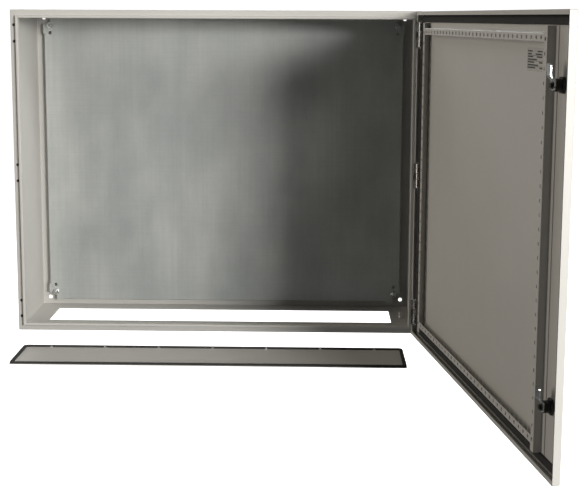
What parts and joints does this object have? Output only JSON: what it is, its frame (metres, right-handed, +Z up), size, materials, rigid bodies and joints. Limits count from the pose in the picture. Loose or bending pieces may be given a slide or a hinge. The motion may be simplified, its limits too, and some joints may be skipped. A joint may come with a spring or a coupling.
{
  "type": "dc combiner box",
  "caption": "Empty wall-mounting sheet-steel combiner enclosure with a hinged door on quarter-turn locks, a galvanised mounting plate and a removable gland plate.",
  "frame": {"origin": "centre of the four wall-fixing holes, on the outer face of the back panel", "axes": "+X to the right seen from the front, +Y into the wall, +Z up; the door is at -Y"},
  "size_m": [1.161, 1.2748, 0.813],
  "materials": {
    "powder_coat": "light grey fine-texture powder coat, satin",
    "galvanised_sheet": "galvanised sheet, satin, faint vertical rolling streaks",
    "zinc_plated_steel": "bright zinc plating",
    "hinge_zinc": "bright die-cast zinc",
    "black_coating": "black coated die casting, satin",
    "foam_gasket": "poured foam gasket, matt, fine cells",
    "black_plastic": "moulded, matt",
    "label_film": "matt printed film, blank"
  },
  "bodies": {
    "enclosure": {"side_panel_left": "powder_coat", "side_panel_right": "powder_coat", "top_panel": "powder_coat", "bottom_panel": "powder_coat", "back_panel": "powder_coat", "mounting_plate": "galvanised_sheet", "plate_studs": "zinc_plated_steel", "plate_spacers": "zinc_plated_steel", "plate_washers": "zinc_plated_steel", "plate_nuts": "zinc_plated_steel", "hinge_base_top": "hinge_zinc", "hinge_base_middle": "hinge_zinc", "hinge_base_bottom": "hinge_zinc", "hinge_pin_top": "hinge_zinc", "hinge_pin_middle": "hinge_zinc", "hinge_pin_bottom": "hinge_zinc", "hinge_base_screws": "zinc_plated_steel", "hinge_hole_plugs": "black_plastic", "earth_stud": "zinc_plated_steel"},
    "door": {"door_panel": "powder_coat", "door_gasket": "foam_gasket", "door_frame_top": "powder_coat", "door_frame_bottom": "powder_coat", "door_frame_lock_side": "powder_coat", "door_frame_hinge_side": "powder_coat", "hinge_leaf_top": "hinge_zinc", "hinge_leaf_middle": "hinge_zinc", "hinge_leaf_bottom": "hinge_zinc", "lock_housing_upper": "black_coating", "lock_nut_upper": "black_coating", "lock_seal_upper": "foam_gasket", "lock_housing_lower": "black_coating", "lock_nut_lower": "black_coating", "lock_seal_lower": "foam_gasket", "door_earth_stud": "zinc_plated_steel", "door_earth_nut": "zinc_plated_steel", "data_label": "label_film"},
    "lock_core_upper": {"lock_insert_upper": "black_coating", "lock_cam_upper": "zinc_plated_steel", "cam_screw_upper": "black_coating"},
    "lock_core_lower": {"lock_insert_lower": "black_coating", "lock_cam_lower": "zinc_plated_steel", "cam_screw_lower": "black_coating"},
    "gland_cover": {"gland_plate": "powder_coat", "gland_plate_gasket": "foam_gasket", "gland_plate_screws": "zinc_plated_steel"}
  },
  "joints": [
    {"name": "door_hinge", "type": "hinge", "parent": "enclosure", "child": "door", "pos_m": [0.495, -0.2925, 0], "axis": [0, 0, 1], "range_deg": [-99.2, 30.8]},
    {"name": "lock_upper_turn", "type": "hinge", "parent": "door", "child": "lock_core_upper", "pos_m": [0.65185, -1.2234, 0.275], "axis": [0.9871, 0.1599, 0], "range_deg": [0, 90]},
    {"name": "lock_lower_turn", "type": "hinge", "parent": "door", "child": "lock_core_lower", "pos_m": [0.65185, -1.2234, -0.275], "axis": [0.9871, 0.1599, 0], "range_deg": [0, 90]},
    {"name": "gland_plate_slide", "type": "slide", "parent": "enclosure", "child": "gland_cover", "axis": [0, 0.9999, 0.0101], "range_m": [0, 0.35802]}
  ]
}
